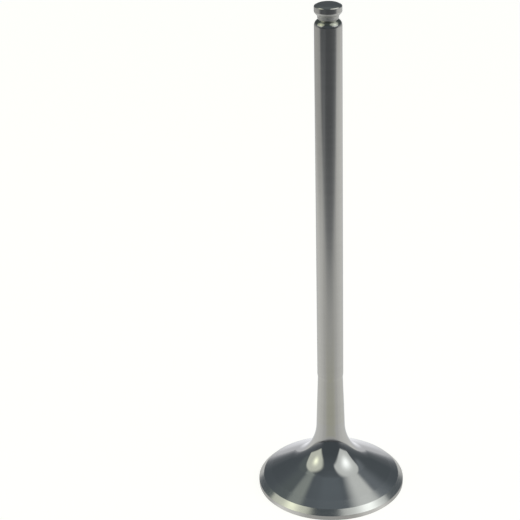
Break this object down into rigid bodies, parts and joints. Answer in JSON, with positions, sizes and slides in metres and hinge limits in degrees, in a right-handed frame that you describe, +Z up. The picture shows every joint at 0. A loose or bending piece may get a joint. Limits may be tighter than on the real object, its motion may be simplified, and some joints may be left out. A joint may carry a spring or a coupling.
{
  "type": "engine valve",
  "caption": "Poppet valve for an engine: round head with a conical seat and a hollow-curved back, tapered neck, long ground stem and a keeper groove below the tip.",
  "frame": {"origin": "centre of the combustion face, which the valve stands on", "axes": "+Z up the stem from the combustion face to the tip"},
  "size_m": [0.0342, 0.0342, 0.1169],
  "materials": {
    "steel": "ground and polished steel: fine ground stem and seat, satin neck, near-mirror back of the head"
  },
  "bodies": {
    "root": {"valve": "steel"}
  },
  "joints": []
}
